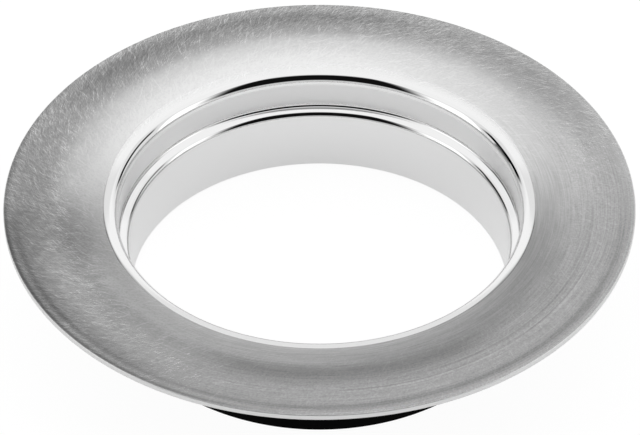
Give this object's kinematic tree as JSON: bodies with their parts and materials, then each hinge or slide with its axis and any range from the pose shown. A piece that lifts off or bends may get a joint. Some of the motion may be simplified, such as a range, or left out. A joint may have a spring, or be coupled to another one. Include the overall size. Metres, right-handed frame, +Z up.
{
  "type": "garbage disposal sink flange",
  "caption": "Round stainless sink flange of a food-waste disposer: dished brushed rim, polished stepped throat, rubber rim gasket and a black push-on neck collar with O-ring seals.",
  "frame": {"origin": "centre of the collar's foot, the face the flange stands on", "axes": "+Z up along the throat's axis, from the neck to the rim"},
  "size_m": [0.1142, 0.1142, 0.0219],
  "materials": {
    "brushed_steel": "brushed rim, polished throat",
    "gasket_rubber": "matt black rubber",
    "black_plastic": "satin black moulded plastic",
    "seal_rubber": "smooth black rubber"
  },
  "bodies": {
    "flange": {"flange_shell": "brushed_steel", "rim_gasket": "gasket_rubber"},
    "collar": {"neck_collar": "black_plastic", "upper_o_ring": "seal_rubber", "lower_o_ring": "seal_rubber"}
  },
  "joints": [
    {"name": "collar_pull", "type": "slide", "parent": "flange", "child": "collar", "axis": [0, 0, -1], "range_m": [0, 0.02]}
  ]
}
